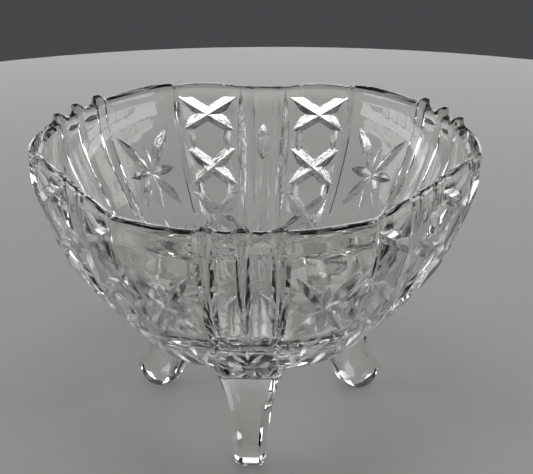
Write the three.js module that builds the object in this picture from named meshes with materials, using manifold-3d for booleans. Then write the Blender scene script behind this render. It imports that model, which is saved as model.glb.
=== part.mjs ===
// A footed glass punch bowl: one thick pressed bowl, round with three flats, on three scroll feet.
// Millimetres, +Z up. The front corner of the bowl, and the foot below it, point to -Y.
import * as THREE from 'three';
import { mergeVertices } from 'three/addons/utils/BufferGeometryUtils.js';
import Module from 'manifold-3d';

const wasm = await Module();
wasm.setup();

// Driving dimensions.
const rimHeight = 161;
const baseHeight = 52;
const corners = 3;
const meltGap = 0.3;

// Outline of the wall, as radius and height: the outside going up, then the inside going down.
const outsideOutline = [
  [34, baseHeight], [50, baseHeight], [61, 53.4], [74, 62.5], [92, 81],
  [107, 99.5], [119.8, 124], [127, 143], [129, rimHeight],
];
const insideOutline = [
  [119.7, rimHeight], [116, 144], [107.5, 126.5], [93.5, 105], [82, 90],
  [68.5, 78.4], [52.6, 74.2], [30, 72.2],
];
const floorHeight = 72;
const outsideRings = 12;
const insideRings = 8;

// In plan the wall is a circle with three flats, midway between the corners. A flat's distance from
// the axis, as a share of the radius, at the rim; the flats fade towards the base.
const outsideFlat = 0.886;
const insideFlat = 0.912;
const flatAtBase = 0.2;
const flatSoftness = 0.01;

// The cut pattern round one sixth of the bowl, in degrees from a corner: how deep the glass is cut
// back there, and how far the rim's outer edge stands above its inner edge.
const ribTurn = 8.8;
const pattern = [
  { turn: 0, cut: 2, rise: 6 },
  { turn: 1.7, cut: 2.3, rise: 4.5 },
  { turn: 2.7, cut: 4.4, rise: 1 },
  { turn: 4.4, cut: 5, rise: 0.5 },
  { turn: 6.1, cut: 4.4, rise: 1 },
  { turn: 7.1, cut: 2.3, rise: 4.5 },
  { turn: ribTurn, cut: 2, rise: 6 },
  { turn: 10.5, cut: 2.2, rise: 4.5 },
  { turn: 11.5, cut: 1.8, rise: 1 },
  { turn: 16.5, cut: 1.2, rise: 0.8 },
  { turn: 22, cut: 1, rise: 0.8 },
  { turn: 27.5, cut: 1, rise: 1 },
  { turn: 33.2, cut: 1, rise: 1.2 },
  { turn: 33.7, cut: 0.4, rise: 0.6 },
  { turn: 34.9, cut: 2, rise: -0.4 },
  { turn: 36.1, cut: 0.4, rise: 0.6 },
  { turn: 38.5, cut: 0, rise: 1.2 },
  { turn: 43.5, cut: 0, rise: 1.6 },
  { turn: 48.5, cut: 0, rise: 1.2 },
  { turn: 50.8, cut: 0.4, rise: 0.2 },
  { turn: 51.6, cut: 2, rise: -1 },
  { turn: 54.4, cut: 1.2, rise: -1 },
  { turn: 57.2, cut: 2.2, rise: -1 },
];
const sixth = 60;
const patternFoot = 58;
const patternFull = 84;

// Star cut into each plain panel. A petal's tip is so many degrees round and mm up from the centre.
const starTurn = 21.8;
const starHeight = 111.7;
const starCut = 1.9;
const petalLift = 0.6;
const petals = [
  { turn: 0, up: 16.5, width: 5 },
  { turn: 0, up: -19.5, width: 5 },
  { turn: 8.6, up: 1.2, width: 5.5 },
  { turn: -8.6, up: 1.2, width: 5.5 },
  { turn: 9.2, up: 26, width: 6.5 },
  { turn: -9.2, up: 26, width: 6.5 },
  { turn: 8.1, up: -19.5, width: 6 },
  { turn: -8.1, up: -19.5, width: 6 },
];

// Crossed mitre cuts that part the hexagon buttons of each column.
const columnTurn = 43.5;
const crossHeights = [86, 112, 143.8];
const crossHalfTurn = 7;
const crossUp = 9.3;
const crossWidth = 7;
const crossCut = 2.6;

// Rayed star under the base.
const rays = 24;
const rayInner = 4;
const rayOuter = 61;
const rayWidth = 4.4;
const rayCut = 2.2;

// Scroll foot, drawn in its own upright plane: distance from the bowl's axis, then height.
const legInside = [[43, 60], [46, 42], [48.6, 28], [51.2, 19], [54, 11.5], [58.2, 3.6], [63, 0]];
const toeOutside = [
  [70.5, 0], [77, 3.6], [80.4, 9.6], [77.6, 16.4], [72.2, 23], [70.4, 31], [71.6, 43], [75, 54], [80, 74],
];
const footSteps = 14;
const footHalfWidths = [[0, 7.6], [9, 8.6], [18.6, 9.8], [32, 12], [41, 13.8], [51, 16], [58, 19], [74, 24]];
const footEdge = 2.6;

const radians = THREE.MathUtils.degToRad;

function curvePoints(outline, count) {
  const knots = outline.map(([x, y]) => new THREE.Vector2(x, y));
  return new THREE.SplineCurve(knots).getPoints(count);
}

// The plan of the wall at a height: 1 on the round stretches, less on the flats.
function plan(flat, angle, height) {
  const up = THREE.MathUtils.clamp((height - baseHeight) / (rimHeight - baseHeight), 0, 1);
  const strength = flatAtBase + (1 - flatAtBase) * up;
  const between = (2 * Math.PI) / corners;
  const fromFlat = THREE.MathUtils.euclideanModulo(angle, between) - between / 2;
  const straight = (1 - strength * (1 - flat)) / Math.cos(fromFlat);
  return -flatSoftness * Math.log(Math.exp(-1 / flatSoftness) + Math.exp(-straight / flatSoftness));
}

// Looks a value up along a list of pairs.
function along(pairs, at) {
  const next = pairs.findIndex(([place]) => place >= at);
  if (next < 0) return pairs[pairs.length - 1][1];
  if (next === 0) return pairs[0][1];
  const [low, from] = pairs[next - 1];
  const [high, to] = pairs[next];
  return from + ((to - from) * (at - low)) / (high - low);
}

// Every station round the whole bowl, in degrees, each with its place in the pattern.
const sector = [
  ...pattern,
  { turn: sixth, cut: 2.2, rise: -1 },
  ...pattern.slice(1).reverse().map((stop) => ({ ...stop, turn: 2 * sixth - stop.turn })),
];
const stations = [0, 1, 2].flatMap((corner) =>
  sector.map((stop) => ({ ...stop, turn: stop.turn + corner * 2 * sixth })));

// The wall: a turned outline, then each point moved in to the flats and back by the pattern.
function wallGeometry(grow = 0, plain = false) {
  const outside = curvePoints(outsideOutline, outsideRings);
  const inside = plain ? [] : curvePoints(insideOutline, insideRings);
  const axisLow = new THREE.Vector2(0, baseHeight - grow);
  const axisHigh = new THREE.Vector2(0, plain ? rimHeight : floorHeight);
  const outline = [axisLow, ...outside, ...inside, axisHigh];
  const geometry = new THREE.LatheGeometry(outline, stations.length);
  const place = geometry.attributes.position;
  for (let i = 0; i < place.count; i += 1) {
    const ring = i % outline.length;
    const stop = stations[Math.floor(i / outline.length) % stations.length];
    const angle = radians(stop.turn);
    const isOutside = ring > 0 && ring <= outside.length;
    const { x: radius, y: height } = outline[ring];
    let reach = radius * plan(isOutside ? outsideFlat : insideFlat, angle, height);
    let top = height;
    if (isOutside) {
      reach += grow;
      if (ring < 4) top -= grow;
    }
    if (isOutside && !plain) {
      reach -= stop.cut * THREE.MathUtils.smoothstep(height, patternFoot, patternFull);
      if (ring === outside.length) top += stop.rise;
    }
    place.setXYZ(i, reach * Math.sin(angle), -reach * Math.cos(angle), top);
  }
  return geometry;
}

function toSolid(geometry) {
  const bare = geometry.clone();
  bare.deleteAttribute('normal');
  bare.deleteAttribute('uv');
  const merged = mergeVertices(bare);
  const triVerts = new Uint32Array(merged.index.array);
  const vertProperties = merged.attributes.position.array;
  const made = new wasm.Manifold(new wasm.Mesh({ numProp: 3, vertProperties, triVerts }));
  if (made.volume() > 0) return made;
  triVerts.reverse();
  return new wasm.Manifold(new wasm.Mesh({ numProp: 3, vertProperties, triVerts }));
}

function toMesh(name, made, glass) {
  const { vertProperties, triVerts } = made.getMesh();
  const geometry = new THREE.BufferGeometry();
  geometry.setAttribute('position', new THREE.BufferAttribute(vertProperties, 3));
  geometry.setIndex(new THREE.BufferAttribute(triVerts, 1));
  geometry.computeVertexNormals();
  const mesh = new THREE.Mesh(geometry, glass);
  mesh.name = name;
  return mesh;
}

const glassFinish = () => new THREE.MeshStandardMaterial({
  color: 0xe9efee, roughness: 0.05, metalness: 0, transparent: true, opacity: 0.35,
});

// A point on the uncut outside of the wall.
function onWall(turn, height) {
  const radius = along(outsideOutline.map(([r, h]) => [h, r]), height);
  const angle = radians(turn);
  const reach = radius * plan(outsideFlat, angle, height);
  return new THREE.Vector3(reach * Math.sin(angle), -reach * Math.cos(angle), height);
}

// The direction straight out of the wall at a place.
function outOfWall(turn, height) {
  const across = onWall(turn + 0.5, height).sub(onWall(turn - 0.5, height));
  const up = onWall(turn, height + 2).sub(onWall(turn, height - 2));
  return across.cross(up).normalize();
}

// A V cut with pointed ends or, when bar is true, with square ends, from one point to another.
function vCut(from, to, out, width, cut, bar) {
  const run = to.clone().sub(from);
  const side = new THREE.Vector3().crossVectors(run, out).normalize();
  const shape = bar ? new THREE.CylinderGeometry(1, 1, 2, 4) : new THREE.OctahedronGeometry(1);
  const middle = from.clone().add(to).multiplyScalar(0.5);
  const turned = new THREE.Matrix4().makeBasis(
    side.multiplyScalar(width / 2), run.divideScalar(2), out.clone().multiplyScalar(cut));
  turned.setPosition(middle);
  return toSolid(shape.applyMatrix4(turned));
}

function starCuts(turn, height) {
  const out = outOfWall(turn, height);
  const panelCut = pattern.find((stop) => stop.turn > starTurn).cut;
  const centre = onWall(turn, height).addScaledVector(out, petalLift - panelCut);
  return petals.map((petal) => {
    const tip = onWall(turn + petal.turn, height + petal.up);
    tip.addScaledVector(outOfWall(turn + petal.turn, height + petal.up), petalLift - panelCut);
    return vCut(centre, tip, out, petal.width, starCut, false);
  });
}

function crossCuts(turn, height) {
  return [-1, 1].map((slant) => {
    const low = onWall(turn - slant * crossHalfTurn, height - crossUp);
    const high = onWall(turn + slant * crossHalfTurn, height + crossUp);
    return vCut(low, high, outOfWall(turn, height), crossWidth, crossCut, true);
  });
}

function rayCuts() {
  return Array.from({ length: rays }, (_, i) => {
    const angle = (i * 2 * Math.PI) / rays;
    const ray = new THREE.Vector3(Math.sin(angle), -Math.cos(angle), 0);
    const from = ray.clone().multiplyScalar(rayInner).setZ(baseHeight);
    const to = ray.clone().multiplyScalar(rayOuter).setZ(baseHeight);
    return vCut(from, to, new THREE.Vector3(0, 0, -1), rayWidth, rayCut, false);
  });
}

function bowl() {
  const cuts = rayCuts();
  for (let corner = 0; corner < corners; corner += 1) {
    for (const side of [-1, 1]) {
      const turn = corner * 2 * sixth;
      cuts.push(...starCuts(turn + side * starTurn, starHeight));
      for (const height of crossHeights) cuts.push(...crossCuts(turn + side * columnTurn, height));
    }
  }
  const made = cuts.reduce((glass, cut) => glass.subtract(cut), toSolid(wallGeometry()));
  return toMesh('bowl', made, glassFinish());
}

// The foot is its side outline given a width with chamfered edges, narrowed towards the toe, and
// hollowed at the top to meet the bowl.
function footSolid() {
  const outline = new THREE.Shape([
    ...curvePoints(legInside, footSteps),
    ...curvePoints(toeOutside, footSteps),
  ]);
  const geometry = new THREE.ExtrudeGeometry(outline, {
    depth: 2, bevelEnabled: true, bevelThickness: 1, bevelSize: footEdge, bevelOffset: -footEdge, bevelSegments: 1,
  });
  geometry.translate(0, 0, -1);
  const place = geometry.attributes.position;
  for (let i = 0; i < place.count; i += 1) {
    const half = along(footHalfWidths, place.getY(i));
    const side = place.getZ(i);
    const width = Math.sign(side) * (Math.abs(side) > 1.5 ? half : half - footEdge);
    place.setXYZ(i, width, -place.getX(i), Math.max(place.getY(i), 0));
  }
  return toSolid(geometry).subtract(toSolid(wallGeometry(meltGap, true)));
}

function foot(name, corner) {
  const made = footSolid();
  const largest = made.decompose().sort((a, b) => b.volume() - a.volume())[0];
  const mesh = toMesh(name, largest, glassFinish());
  mesh.rotation.z = radians(corner * 2 * sixth);
  return mesh;
}

const assembly = new THREE.Group();
assembly.add(bowl());
['front_foot', 'rear_right_foot', 'rear_left_foot'].forEach((name, corner) => assembly.add(foot(name, corner)));

// The origin is on the table, at the middle of the bowl's width and depth.
const size = new THREE.Box3().setFromObject(assembly, true);
const middle = size.getCenter(new THREE.Vector3());
assembly.position.set(-middle.x, -middle.y, -size.min.z);

const root = new THREE.Group();
root.add(assembly);
export default root;
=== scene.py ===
import math

import bmesh
import bpy
from mathutils import Matrix, Vector


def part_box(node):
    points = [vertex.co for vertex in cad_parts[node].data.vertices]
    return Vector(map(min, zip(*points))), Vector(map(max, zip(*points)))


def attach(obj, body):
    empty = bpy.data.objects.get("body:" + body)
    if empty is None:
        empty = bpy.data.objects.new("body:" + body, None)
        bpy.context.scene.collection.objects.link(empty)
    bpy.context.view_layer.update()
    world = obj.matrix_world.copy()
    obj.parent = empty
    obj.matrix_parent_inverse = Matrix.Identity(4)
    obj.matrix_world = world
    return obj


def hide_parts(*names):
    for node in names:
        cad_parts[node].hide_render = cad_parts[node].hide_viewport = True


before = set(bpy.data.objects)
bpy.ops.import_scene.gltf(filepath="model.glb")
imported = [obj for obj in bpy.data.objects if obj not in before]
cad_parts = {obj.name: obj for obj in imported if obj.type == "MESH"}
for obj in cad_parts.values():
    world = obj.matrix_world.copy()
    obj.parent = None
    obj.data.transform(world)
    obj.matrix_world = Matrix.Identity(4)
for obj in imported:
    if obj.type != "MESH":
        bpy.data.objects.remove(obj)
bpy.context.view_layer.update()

mm = 0.001
corners = 3
sixth = 60             # degrees from a corner to the middle of the next flat
toeReach = 80.4        # mm from the bowl's axis to the front foot's toe
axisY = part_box("front_foot")[0].y / mm + toeReach
print("axis stands", round(axisY, 2), "mm behind the origin")


def smoothStep(low, high, value):
    share = min(max((value - low) / (high - low), 0), 1)
    return share * share * (3 - 2 * share)


def along(pairs, at):   # straight-line look-up in a list of (place, value)
    if at <= pairs[0][0]:
        return pairs[0][1]
    for (low, start), (high, end) in zip(pairs, pairs[1:]):
        if at <= high:
            return start + (end - start) * (at - low) / (high - low)
    return pairs[-1][1]


def curveThrough(knots, steps):   # a smooth curve through the knots, steps points to each span
    points = []
    for i in range(len(knots) - 1):
        a, b, c, d = (Vector(knots[min(max(k, 0), len(knots) - 1)]) for k in range(i - 1, i + 3))
        for step in range(steps):
            t = step / steps
            points.append(0.5 * (2 * b + (c - a) * t + (2 * a - 5 * b + 4 * c - d) * t * t
                                 + (3 * b - a - 3 * c + d) * t * t * t))
    points.append(Vector(knots[-1]))
    return points


def toLinear(code):
    parts = [int(code[i:i + 2], 16) / 255 for i in (1, 3, 5)]
    return [p / 12.92 if p <= 0.04045 else ((p + 0.055) / 1.055) ** 2.4 for p in parts] + [1]


def addNode(tree, kind, settings=None, **inputs):
    node = tree.nodes.new(kind)
    for key, value in (settings or {}).items():
        setattr(node, key, value)
    for key, value in inputs.items():
        socket = node.inputs[key.replace("_", " ")]
        if isinstance(value, bpy.types.NodeSocket):
            tree.links.new(value, socket)
        else:
            socket.default_value = value
    return node


def makeGlass(name, tint, roughness, grain, depth):   # grain in mm, depth as a share of full bump
    material = bpy.data.materials.new(name)
    material.use_nodes = True
    tree = material.node_tree
    tree.nodes.clear()
    place = addNode(tree, "ShaderNodeTexCoord")
    ripple = addNode(tree, "ShaderNodeTexNoise", Vector=place.outputs["Object"], Scale=1000 / grain, Detail=1.5)
    bump = addNode(tree, "ShaderNodeBump", Height=ripple.outputs["Fac"], Strength=depth, Distance=0.002)
    shader = addNode(tree, "ShaderNodeBsdfPrincipled", Normal=bump.outputs["Normal"], Base_Color=toLinear(tint),
                     Roughness=roughness, IOR=1.52, Transmission_Weight=1.0)
    addNode(tree, "ShaderNodeOutputMaterial", Surface=shader.outputs["BSDF"])
    return material


# Pressed soda-lime crystal, fire polished: clear and hard edged, with a faint ripple.
clearGlass = makeGlass("pressedClearGlass", "#FBFBF9", 0.01, 18, 0.06)
# The same glass where the pattern is cut and left unpolished: a silvery, satin facet that catches the light.
satinGlass = makeGlass("cutSatinGlass", "#FFFFFF", 0.27, 2.5, 0.16)
print("glass mixed")


def toObject(bm, name, cut=False):   # drawn in mm round the bowl's axis; kept in metres round the frame's origin
    if cut:
        for face in bm.faces:
            face.material_index = 1
    bmesh.ops.transform(bm, verts=bm.verts, matrix=Matrix.Translation((0, axisY * mm, 0)) @ Matrix.Scale(mm, 4))
    mesh = bpy.data.meshes.new(name)
    bm.to_mesh(mesh)
    bm.free()
    mesh.materials.append(clearGlass)
    mesh.materials.append(satinGlass)
    piece = bpy.data.objects.new(name, mesh)
    bpy.context.scene.collection.objects.link(piece)
    return piece


def cutAway(piece, cutter):   # takes the cutter out of the piece and throws the cutter away
    cut = piece.modifiers.new("cut", "BOOLEAN")
    cut.operation = "DIFFERENCE"
    cut.solver = "MANIFOLD"
    cut.object = cutter
    evaluated = piece.evaluated_get(bpy.context.evaluated_depsgraph_get())
    mesh = bpy.data.meshes.new_from_object(evaluated)
    piece.modifiers.clear()
    old, piece.data = piece.data, mesh
    bpy.data.meshes.remove(old)
    bpy.data.objects.remove(cutter)
    piece.data.name = piece.name


cameraPlan = {
    "stands": Vector((62.7, -1179.5, 602.9)),    # mm from the bowl's axis at the table
    "looksAt": Vector((6.66, 0.35, 109.03)),
    "lens": 150.93,
    "lean": -0.007,                              # radians, held a touch off level
}


def makeCamera(plan):
    data = bpy.data.cameras.new("camera")
    data.sensor_width = 36
    data.lens = plan["lens"]
    data.clip_start, data.clip_end = 0.05, 50
    camera = bpy.data.objects.new("camera", data)
    bpy.context.scene.collection.objects.link(camera)
    ahead = plan["looksAt"] - plan["stands"]
    place = (plan["stands"] + Vector((0, axisY, 0))) * mm
    turned = ahead.to_track_quat("-Z", "Y").to_matrix().to_4x4()
    camera.matrix_world = Matrix.Translation(place) @ turned @ Matrix.Rotation(plan["lean"], 4, "Z")
    bpy.context.scene.camera = camera


makeCamera(cameraPlan)
print("camera made")

# Radius and height in mm. Turns are degrees from a corner to the middle of a flat.
bowlShape = {
    "outside": [(34, 52), (50, 52), (61, 53.4), (74, 62.5), (92, 81), (107, 99.5), (119.8, 124), (127, 143),
                (129, 159.5)],
    "lip": [(128.6, 161.4), (127.2, 162.4), (124.6, 162.8), (122, 162.4), (120.3, 161.2), (119.7, 159.4)],
    "inside": [(119.5, 157), (116, 144), (107.5, 126.5), (93.5, 105), (82, 90), (68.5, 78.4), (52.6, 74.2),
               (30, 72.2)],
    "bottom": 52,
    "floor": 72,
    "rim": 161,
    "outsideFlat": 0.886,      # how near a flat comes to the axis at the rim, as a share of the radius
    "insideFlat": 0.912,
    "flatAtBottom": 0.2,
    "flatSoftness": 0.01,
    "outsideSteps": 8,
    "insideSteps": 4,
    "patternFoot": 70,         # the cut pattern dies away below here
    "patternFull": 90,
    "rimWaveDepth": 7,         # how far below the rim the wave of its edge reaches
    "bandFoot": 12,            # how far below the rim the shallower band starts,
    "bandFull": 3,             # how far below the rim it is at its full,
    "rimBand": 0.4,            # and how much of the cut is left out there
}

# The moulded section round one sixth: turn, then mm cut back.
wallSection = [
    (0, 4.9), (4.4, 5.1), (9.8, 4.9), (10.6, 3.8), (11.6, 1.7), (16.5, 1.3), (22, 1.1), (27.5, 1.1), (33.2, 1.1),
    (33.7, 0.5), (34.9, 3.4), (36.1, 3.5), (38.9, 0), (43.5, 0), (48.1, 0), (50.9, 3.5), (51.8, 2.7), (54.4, 2.7),
    (55.6, 1.1), (56.8, 2.7), (57.3, 3.5), (58.6, 2.7), (60, 2.4),
]
# How far the rim rises or dips round the same sixth.
rimWave = [
    (0, 5.4), (0.9, 5.0), (1.6, 3.2), (2.5, 0.9), (4.4, 0.1), (6.3, 0.9), (7.2, 3.2), (7.9, 5.0), (8.8, 5.4),
    (9.7, 5.0), (10.4, 3.2), (11.3, 1.0), (16.5, 0.8), (22, 1.2), (27.5, 1.6), (33.2, 1.0), (34.9, -0.4),
    (36.1, 0.6), (38.4, 1.0), (43.5, 1.6), (48.6, 1.0), (50.9, 0), (51.8, -0.8), (60, -1),
]
# Bars that stand proud of that section and run out to points: mm proud, degrees half wide, and heights where
# each starts, is full, stays full, and ends. A curve of 2 is a round bar, and a higher one is flatter on top.
wallBars = [
    {"turn": 0, "proud": 3.4, "half": 1.65, "heights": (89, 126, 170, 171), "curve": 2.4},
    {"turn": 8.8, "proud": 3.4, "half": 1.65, "heights": (89, 126, 170, 171), "curve": 2.4},
]
barEnds = {
    "narrowing": 0.6,    # below 1, a bar keeps its width nearer to its points
    "rising": 3,         # a bar comes to its full height in a third of the length that its width takes
}
barStops = [-1, -0.75, -0.5, -0.25, 0, 0.25, 0.5, 0.75, 1]   # rows of vertices across a bar
widestStep = 0.9     # degrees between two upright rows of vertices
closestStops = 0.17  # degrees, and of two stops nearer than that only the second is kept


def stationsRound():   # every upright row of vertices round the bowl: its turn and its place in the pattern
    stops = [turn for turn, _ in wallSection + rimWave]
    stops += [bar["turn"] + bar["half"] * stop for bar in wallBars for stop in barStops]
    stops = sorted(stop for stop in stops if 0 <= stop <= sixth)
    stops = [stop for stop, after in zip(stops, stops[1:]) if after - stop > closestStops] + [sixth]
    half = []
    for start, end in zip(stops, stops[1:]):
        count = max(1, math.ceil((end - start) / widestStep - 0.01))
        half += [start + (end - start) * k / count for k in range(count)]
    half.append(sixth)
    mirrored = [(2 * sixth - turn, turn) for turn in reversed(half[1:-1])]
    sector = [(turn, turn) for turn in half] + mirrored
    return [(turn + corner * 2 * sixth, place) for corner in range(corners) for turn, place in sector]


def planAt(flat, turn, height):   # 1 on the round stretches, less on the flats
    shape = bowlShape
    up = min(max((height - shape["bottom"]) / (shape["rim"] - shape["bottom"]), 0), 1)
    strength = shape["flatAtBottom"] + (1 - shape["flatAtBottom"]) * up
    fromFlat = math.radians(turn % (2 * sixth) - sixth)
    straight = (1 - strength * (1 - flat)) / math.cos(fromFlat)
    soft = shape["flatSoftness"]
    return -soft * math.log(math.exp(-1 / soft) + math.exp(-straight / soft))


outsideCurve = curveThrough(bowlShape["outside"], bowlShape["outsideSteps"])
outsideByHeight = [(p.y, p.x) for p in outsideCurve[bowlShape["outsideSteps"]:]]   # without its level first span


def onWall(turn, height, proud=0):   # a point on the uncut outside, or proud of it
    reach = along(outsideByHeight, height) * planAt(bowlShape["outsideFlat"], turn, height) + proud
    angle = math.radians(turn)
    return Vector((reach * math.sin(angle), -reach * math.cos(angle), height))


def outOfWall(turn, height):
    across = onWall(turn + 0.5, height) - onWall(turn - 0.5, height)
    up = onWall(turn, height + 2) - onWall(turn, height - 2)
    return across.cross(up).normalized()


def cutAt(place, height):   # mm that the pattern is cut back at a place in its sixth
    shape = bowlShape
    cut = along(wallSection, place)
    for bar in wallBars:
        start, full, stays, end = bar["heights"]
        taper = min((height - start) / (full - start), (end - height) / (end - stays), 1)
        if taper > 0:
            across = abs(place - bar["turn"]) / (bar["half"] * taper ** barEnds["narrowing"])
            rise = min(1, taper * barEnds["rising"])
            cut -= bar["proud"] * max(0, 1 - across ** bar["curve"]) * rise
    band = smoothStep(shape["rim"] - shape["bandFoot"], shape["rim"] - shape["bandFull"], height)
    cut *= 1 - shape["rimBand"] * band
    return cut * smoothStep(shape["patternFoot"], shape["patternFull"], height)


def spinWall(shrink=0, plain=False):
    shape = bowlShape
    outside = curveThrough(shape["outside"], shape["outsideSteps"])
    inside = [] if plain else curveThrough(shape["inside"], shape["insideSteps"])
    lip = [] if plain else [Vector(p) for p in shape["lip"]]
    top = shape["outside"][-1][1] if plain else shape["floor"]
    outline = [Vector((0, shape["bottom"]))] + outside + lip + inside + [Vector((0, top))]
    stations = stationsRound()
    bm = bmesh.new()
    ringLayer = bm.verts.layers.int.new("ring")
    profile = []
    for ring, point in enumerate(outline):
        vert = bm.verts.new((0, -point.x, point.y))
        vert[ringLayer] = ring
        profile.append(vert)
    edges = [bm.edges.new(pair) for pair in zip(profile, profile[1:])]
    bmesh.ops.spin(bm, geom=profile + edges, cent=(0, 0, 0), axis=(0, 0, 1), dvec=(0, 0, 0),
                   angle=2 * math.pi, steps=len(stations), use_merge=True)
    bmesh.ops.remove_doubles(bm, verts=bm.verts, dist=1e-4)
    lastOutside = len(outside)
    lastLip = lastOutside + len(lip)
    for vert in bm.verts:
        ring = vert[ringLayer]
        radius = math.hypot(vert.co.x, vert.co.y)
        if radius < 1e-3:
            continue
        step = round(math.degrees(math.atan2(vert.co.x, -vert.co.y)) / 360 * len(stations)) % len(stations)
        turn, place = stations[step]
        height = vert.co.z
        outward = 1 - smoothStep(lastOutside, lastLip + 1, ring)   # 1 outside, 0 inside, between on the lip
        flat = shape["insideFlat"] + (shape["outsideFlat"] - shape["insideFlat"]) * outward
        reach = radius * planAt(flat, turn, height)
        if plain:
            reach -= shrink
            if ring <= shape["outsideSteps"] * 2:
                height += shrink
        else:
            reach -= cutAt(place, height) * outward
            nearRim = smoothStep(shape["rim"] - shape["rimWaveDepth"], shape["rim"], vert.co.z)
            height += along(rimWave, place) * outward * nearRim
        angle = math.radians(turn)
        vert.co = Vector((reach * math.sin(angle), -reach * math.cos(angle), height))
    bmesh.ops.recalc_face_normals(bm, faces=bm.faces)
    return bm


bowl = toObject(spinWall(), "bowlGlass")
print("bowl wall spun:", len(bowl.data.polygons), "faces")


def dropChips(piece):   # throws away crumbs of glass that crossing cuts have parted from the rest
    bm = bmesh.new()
    bm.from_mesh(piece.data)
    waiting = set(bm.verts)
    parts = []
    while waiting:
        part = set()
        front = [waiting.pop()]
        while front:
            vert = front.pop()
            part.add(vert)
            for edge in vert.link_edges:
                other = edge.other_vert(vert)
                if other in waiting:
                    waiting.remove(other)
                    front.append(other)
        parts.append(part)
    parts.sort(key=len)
    chips = [vert for part in parts[:-1] for vert in part]
    bmesh.ops.delete(bm, geom=chips, context="VERTS")
    bm.to_mesh(piece.data)
    bm.free()
    print("crumbs dropped:", len(parts) - 1)


spindleSwell = 0.8   # below 1, a cut keeps its width nearer to its pointed ends


def spindle(bm, path, outs, width, depth):   # a V cut with pointed ends, laid along a path on the wall
    rings = []
    for i, (place, out) in enumerate(zip(path, outs)):
        run = (path[min(i + 1, len(path) - 1)] - path[max(i - 1, 0)]).normalized()
        side = run.cross(out).normalized()
        share = i / (len(path) - 1)
        swell = math.sin(math.pi * share) ** spindleSwell if 0 < share < 1 else 0
        if swell == 0:
            rings.append([bm.verts.new(place)])
            continue
        half = side * width / 2 * swell
        deep = out * depth * swell
        rings.append([bm.verts.new(place + offset) for offset in (half, -deep, -half, deep)])
    for before, after in zip(rings, rings[1:]):
        for k in range(4):
            corner = [before[k % len(before)], before[(k + 1) % len(before)],
                      after[(k + 1) % len(after)], after[k % len(after)]]
            bm.faces.new(list(dict.fromkeys(corner)))


def cutBowl(bm, name):   # closes a set of cutters and takes them out of the bowl
    bmesh.ops.recalc_face_normals(bm, faces=bm.faces)
    cutAway(bowl, toObject(bm, name, True))


def wallSpindle(bm, places, proud, width, depth):   # a V cut through places on the wall, each (turn, height)
    spindle(bm, [onWall(t, h, proud) for t, h in places], [outOfWall(t, h) for t, h in places], width, depth)


def uprightCut(bm, turn, low, high, plan):
    rise = (high - low) / plan["steps"]
    places = [(turn, low + rise * k) for k in range(plan["steps"] + 1)]
    wallSpindle(bm, places, plan["lift"], plan["width"], plan["depth"])


# Eight-petalled star in each plain panel. Tips are degrees round and mm up from the centre.
starCuts = {
    "turn": 21.8, "height": 111.7, "steps": 8,
    "lift": -0.85,       # mm proud of the uncut wall, which the panel itself is 1.1 mm behind
    "steep": 0.62,       # depth as a share of a petal's width
    "petals": [(0, 16.5, 5.8), (0, -19.5, 6.4), (8.6, 1.2, 6.8), (-8.6, 1.2, 6.8),
               (9.2, 26, 8.4), (-9.2, 26, 7.0), (8.1, -19.5, 6.6), (-8.1, -19.5, 6.8)],
}

# Wide crossed mitres between the hexagon buttons of each column.
crossCuts = {
    "turn": 43.5, "heights": [86, 112, 143.8], "lift": 0.2,
    "halfTurn": 8, "up": 10.6, "width": 8.4, "depth": 3.3,
}

# Almond lens in the middle of each flat.
jewelCut = {"turn": 60, "from": 115.5, "to": 138.5, "lift": -1.9, "width": 12, "depth": 4.2, "steps": 12}

# Tall lens cut on each side of the flat's middle.
lensCut = {"turn": 53.1, "from": 85, "to": 161, "lift": -2.4, "width": 5.8, "depth": 2.9, "steps": 10}

# Short upright cuts that close the sides of the hexagon buttons.
sideCuts = {
    "away": 5.5, "spans": [(89.5, 108.5), (116.5, 139)], "lift": -0.3, "width": 6, "depth": 3.6, "steps": 6,
}

# Rayed star under the floor.
rayCuts = {"rays": 24, "from": 3, "to": 63, "lift": 0.2, "width": 5.4, "depth": 3.6, "steps": 10}

# Ring of pointed arches round the underside, like the petals of a water lily, and the seeds among them.
lilyRing = {
    "arches": 18, "foot": 53.5, "tip": 83, "lift": -0.1, "width": 3.4, "depth": 2.2, "steps": 10,
    "bend": 2.2,         # how late a flank turns in towards the tip
    "spread": 0.96,      # share of its room that an arch fills at its foot
}
seedCuts = {"inside": (56, 74), "between": (70, 90), "lift": 0.1, "width": 5.6, "depth": 2.2, "steps": 6}


def allStations(turn):   # the six places round the bowl at this turn from a corner, and which side of it
    return [(corner * 2 * sixth + side * turn, side) for corner in range(corners) for side in (-1, 1)]


for turnAway, up, width in starCuts["petals"]:
    bm = bmesh.new()
    for centre, side in allStations(starCuts["turn"]):
        shares = [i / starCuts["steps"] for i in range(starCuts["steps"] + 1)]
        places = [(centre + side * turnAway * s, starCuts["height"] + up * s) for s in shares]
        wallSpindle(bm, places, starCuts["lift"], width, width * starCuts["steep"])
    cutBowl(bm, "petalCutter")
print("stars cut:", len(bowl.data.polygons), "faces")

for slant in (-1, 1):
    bm = bmesh.new()
    for centre, _ in allStations(crossCuts["turn"]):
        for height in crossCuts["heights"]:
            out = outOfWall(centre, height)
            low = onWall(centre - slant * crossCuts["halfTurn"], height - crossCuts["up"], crossCuts["lift"])
            high = onWall(centre + slant * crossCuts["halfTurn"], height + crossCuts["up"], crossCuts["lift"])
            run = high - low
            bar = bmesh.ops.create_cone(bm, cap_ends=True, segments=4, radius1=1, radius2=1, depth=1)["verts"]
            side = run.cross(out).normalized()
            turned = Matrix((side * crossCuts["width"] / 2, out * crossCuts["depth"], run)).transposed().to_4x4()
            bmesh.ops.transform(bm, verts=bar, matrix=Matrix.Translation((low + high) / 2) @ turned)
    cutBowl(bm, "mitreCutter")
print("crosses cut:", len(bowl.data.polygons), "faces")

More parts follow.
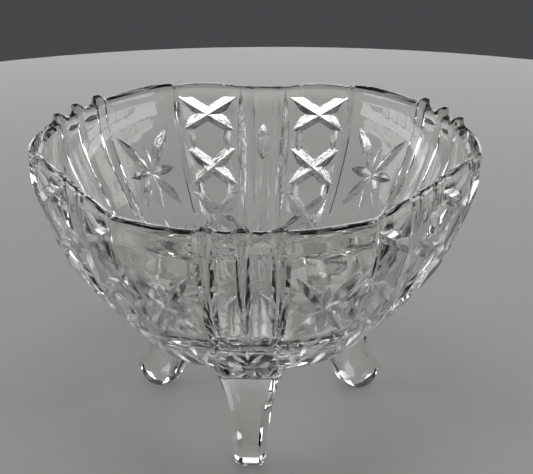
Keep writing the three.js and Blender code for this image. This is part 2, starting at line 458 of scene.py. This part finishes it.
bm = bmesh.new()
for corner in range(corners):
    uprightCut(bm, corner * 2 * sixth + jewelCut["turn"], jewelCut["from"], jewelCut["to"], jewelCut)
cutBowl(bm, "jewelCutter")

bm = bmesh.new()
for turn, _ in allStations(crossCuts["turn"]):
    for away in (-sideCuts["away"], sideCuts["away"]):
        for low, high in sideCuts["spans"]:
            uprightCut(bm, turn + away, low, high, sideCuts)
cutBowl(bm, "sideCutter")

bm = bmesh.new()
for turn, _ in allStations(lensCut["turn"]):
    uprightCut(bm, turn, lensCut["from"], lensCut["to"], lensCut)
cutBowl(bm, "lensCutter")

underside = [(p.x, p.y) for p in curveThrough(bowlShape["outside"][:4], 6)]
bm = bmesh.new()
for ray in range(rayCuts["rays"]):
    turn = 360 * ray / rayCuts["rays"]
    direction = Vector((math.sin(math.radians(turn)), -math.cos(math.radians(turn)), 0))
    path = []
    for i in range(rayCuts["steps"] + 1):
        reach = rayCuts["from"] + (rayCuts["to"] - rayCuts["from"]) * i / rayCuts["steps"]
        path.append(direction * reach + Vector((0, 0, along(underside, reach) - rayCuts["lift"])))
    spindle(bm, path, [Vector((0, 0, -1))] * len(path), rayCuts["width"], rayCuts["depth"])
cutBowl(bm, "rayCutter")

for side in (-1, 1):   # one flank of every arch at a time, since the flanks meet at the tips
    bm = bmesh.new()
    for arch in range(lilyRing["arches"]):
        middle = 360 * (arch + 0.5) / lilyRing["arches"]
        half = 180 / lilyRing["arches"]
        shares = [i / lilyRing["steps"] for i in range(lilyRing["steps"] + 1)]
        places = [(middle + side * half * (1 - s ** lilyRing["bend"]) * lilyRing["spread"],
                   lilyRing["foot"] + (lilyRing["tip"] - lilyRing["foot"]) * s) for s in shares]
        wallSpindle(bm, places, lilyRing["lift"], lilyRing["width"], lilyRing["depth"])
    cutBowl(bm, "lilyCutter")

bm = bmesh.new()
for arch in range(lilyRing["arches"] * 2):   # a seed inside each arch, and a taller one between two arches
    low, high = seedCuts["between"] if arch % 2 == 0 else seedCuts["inside"]
    uprightCut(bm, 180 * arch / lilyRing["arches"], low, high, seedCuts)
cutBowl(bm, "seedCutter")
dropChips(bowl)
print("jewels, lenses, base star and lily ring cut:", len(bowl.data.polygons), "faces")


# Pairs of points down the foot, each (mm from the axis, height): its inner face, then its outer face.
footShape = {
    "stations": [
        ((43, 62), (82, 76), 23), ((44.6, 55), (75.6, 58), 19.5), ((45.8, 47), (72.6, 49), 16.6),
        ((47, 38), (71, 40), 13.4), ((48.4, 30), (70.4, 32.5), 12), ((50, 23.4), (71.4, 26), 11),
        ((51.6, 18), (73.6, 21.4), 10.3), ((53.4, 13), (76.6, 17.6), 9.7), ((55.2, 8.8), (79.4, 13.6), 9.2),
        ((57.4, 4.8), (80.4, 9.4), 8.8), ((60, 1.9), (78.4, 5), 8.3), ((63.4, 0.2), (74.4, 1.4), 7.6),
    ],
    "edge": 0.32,        # share of the half width that the bevelled strip beside the front face takes
    "overlap": 0.35,     # mm that the foot sinks into the bowl, so that no gap shows where they are fused
}


def footSection(bm, inner, outer, halfWidth):   # one cross-section: a flat front, bevelled strips, round back
    middle = (Vector(inner) + Vector(outer)) / 2
    front = Vector(outer) - middle
    strip = footShape["edge"]
    shape = [(-1 + strip, 1), (1 - strip, 1), (0.94, 0.72), (1, 0.4), (1, -0.35), (0.86, -0.75),
             (0.5, -1), (-0.5, -1), (-0.86, -0.75), (-1, -0.35), (-1, 0.4), (-0.94, 0.72)]
    ring = []
    for across, forward in shape:
        place = middle + front * forward
        ring.append(bm.verts.new((across * halfWidth, -place.x, place.y)))
    return ring


bowlCore = toObject(spinWall(footShape["overlap"], True), "bowlCore")


def makeFoot(name, corner):
    bm = bmesh.new()
    rings = [footSection(bm, *station) for station in footShape["stations"]]
    loops = [[bm.edges.new(pair) for pair in zip(ring, ring[1:] + ring[:1])] for ring in rings]
    for before, after in zip(loops, loops[1:]):
        bmesh.ops.bridge_loops(bm, edges=before + after)
    bm.faces.new(rings[0])
    bm.faces.new(rings[-1])
    bmesh.ops.recalc_face_normals(bm, faces=bm.faces)
    turned = Matrix.Rotation(math.radians(corner * 2 * sixth), 3, "Z")
    bmesh.ops.rotate(bm, verts=bm.verts, cent=(0, 0, 0), matrix=turned)
    foot = toObject(bm, name)
    core = bowlCore.copy()
    bpy.context.scene.collection.objects.link(core)
    cutAway(foot, core)
    return foot


feet = [makeFoot("frontFootGlass", 0), makeFoot("rearRightFootGlass", 1), makeFoot("rearLeftFootGlass", 2)]
bpy.data.objects.remove(bowlCore)
print("feet made")

sharpest = 24   # degrees between two faces, past which the edge between them stays crisp
for foot in feet:
    foot.data.materials.pop(index=1)   # the feet are polished all over
for piece in [bowl] + feet:
    piece.data.shade_smooth()
    piece.data.set_sharp_from_angle(angle=math.radians(sharpest))

for piece, node in zip([bowl] + feet, ["bowl", "front_foot", "rear_right_foot", "rear_left_foot"]):
    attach(piece, "root")
    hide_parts(node)


studio = {
    "floor": "#DAD8D4",
    "floorRoughness": 0.6,
    "floorReach": 0.7,       # metres from the middle to the floor's edge
    "aim": (0, 0, 0.12),     # where every softbox points
    "world": "#46484A",
    "softboxes": [   # place, size, watts
        ((0.0, -0.1, 1.05), (0.42, 0.3), 0.9),
        ((0.0, 1.15, 0.24), (1.9, 0.46), 5.2),
        ((-1.15, 0.1, 0.22), (1.5, 0.36), 6.5),
        ((1.15, 0.1, 0.22), (1.5, 0.36), 6.0),
        ((0.5, -1.2, 0.5), (0.6, 0.4), 2.2),
    ],
}


def makeStudio(plan):
    bm = bmesh.new()
    bmesh.ops.create_circle(bm, cap_ends=True, segments=128, radius=plan["floorReach"])
    mesh = bpy.data.meshes.new("studioFloor")
    bm.to_mesh(mesh)
    bm.free()
    floor = bpy.data.objects.new("studioFloor", mesh)
    bpy.context.scene.collection.objects.link(floor)
    paint = bpy.data.materials.new("matteFloor")
    paint.use_nodes = True
    paint.node_tree.nodes["Principled BSDF"].inputs["Base Color"].default_value = toLinear(plan["floor"])
    paint.node_tree.nodes["Principled BSDF"].inputs["Roughness"].default_value = plan["floorRoughness"]
    mesh.materials.append(paint)
    world = bpy.data.worlds.new("studioWorld")
    world.use_nodes = True
    world.node_tree.nodes["Background"].inputs["Color"].default_value = toLinear(plan["world"])
    bpy.context.scene.world = world
    for place, size, watts in plan["softboxes"]:
        data = bpy.data.lights.new("softbox", "AREA")
        data.shape = "RECTANGLE"
        data.size, data.size_y = size
        data.energy = watts
        lamp = bpy.data.objects.new("softbox", data)
        lamp.location = place
        lamp.visible_camera = False
        lamp.rotation_euler = (Vector(plan["aim"]) - Vector(place)).to_track_quat("-Z", "Y").to_euler()
        bpy.context.scene.collection.objects.link(lamp)


makeStudio(studio)
bpy.context.scene.view_settings.view_transform = "Standard"
print("studio made")
